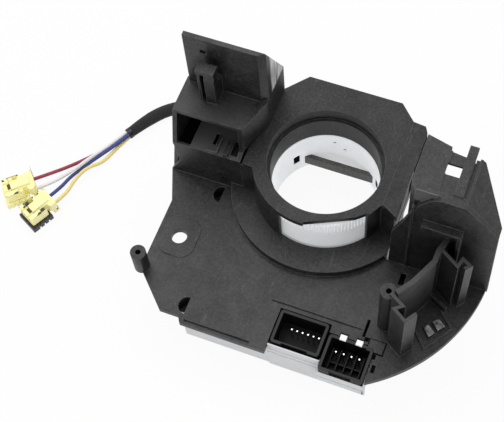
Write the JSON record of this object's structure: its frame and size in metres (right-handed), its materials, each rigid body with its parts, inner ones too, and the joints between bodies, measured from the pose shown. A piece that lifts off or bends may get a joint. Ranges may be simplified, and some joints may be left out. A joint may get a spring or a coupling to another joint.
{
  "type": "steering clock spring",
  "caption": "Steering clock spring in a black switch housing: toothed white drum, column collar, side bays, two sockets and a four-wire pigtail with two plugs.",
  "frame": {"origin": "Centre of the column bore at the top face of the column flange.", "axes": "+Z along the column, out of the flange on the column side; +X to the arched hood; -Y to the two sockets."},
  "size_m": [0.2297, 0.1211, 0.1065],
  "materials": {
    "housing_black": "satin moulded",
    "collar_black": "satin moulded",
    "rotor_black": "satin moulded",
    "socket_black": "satin moulded",
    "drum_white": "smooth moulded",
    "gear_white": "smooth moulded",
    "bar_taupe": "smooth moulded",
    "cable_amber": "smooth film",
    "pin_metal": "bright",
    "board_green": "lacquered",
    "cover_grey": "fine grain",
    "sleeve_black": "woven",
    "wire_red": "smooth",
    "wire_white": "smooth",
    "wire_blue": "smooth",
    "wire_yellow": "smooth",
    "plug_yellow": "smooth moulded",
    "lock_black": "smooth moulded"
  },
  "bodies": {
    "housing": {"switch_housing": "housing_black", "column_collar": "collar_black", "reel_case": "housing_black", "flat_cable": "cable_amber", "socket_6": "socket_black", "socket_4": "socket_black", "socket_6_pins": "pin_metal", "socket_4_pins": "pin_metal", "coding_pegs": "drum_white", "circuit_board": "board_green", "lower_cover": "cover_grey"},
    "rotor": {"rotor_drum": "drum_white", "rotor_skirt": "rotor_black", "crossbar": "bar_taupe", "cable_gland": "rotor_black", "cable_sleeve": "sleeve_black", "wire_red": "wire_red", "wire_white": "wire_white", "wire_blue": "wire_blue", "wire_yellow": "wire_yellow", "plug_a": "plug_yellow", "plug_b": "plug_yellow"},
    "gear_a": {"sensor_gear_a": "gear_white"},
    "gear_b": {"sensor_gear_b": "gear_white"},
    "lock_a": {"plug_a_lock": "plug_yellow"},
    "lock_b": {"plug_b_lock": "lock_black"}
  },
  "joints": [
    {"name": "rotor_spin", "type": "hinge", "parent": "housing", "child": "rotor", "pos_m": [0, 0, 0], "axis": [0, 0, 1], "range_deg": [-900, 900]},
    {"name": "gear_a_spin", "type": "hinge", "parent": "housing", "child": "gear_a", "pos_m": [0.00681, 0.03205, 0], "axis": [0, 0, 1], "continuous": true},
    {"name": "gear_b_spin", "type": "hinge", "parent": "housing", "child": "gear_b", "pos_m": [-0.00677, 0.03183, 0], "axis": [0, 0, 1], "continuous": true},
    {"name": "plug_a_lock_slide", "type": "slide", "parent": "rotor", "child": "lock_a", "axis": [0.7547, 0.6561, 0], "range_m": [0, 0.0017]},
    {"name": "plug_b_lock_slide", "type": "slide", "parent": "rotor", "child": "lock_b", "axis": [0.454, 0.891, 0], "range_m": [0, 0.0017]}
  ],
  "couplings": [
    {"joint": "gear_a_spin", "follows": "rotor_spin", "ratio": -8.4},
    {"joint": "gear_b_spin", "follows": "rotor_spin", "ratio": -9}
  ]
}
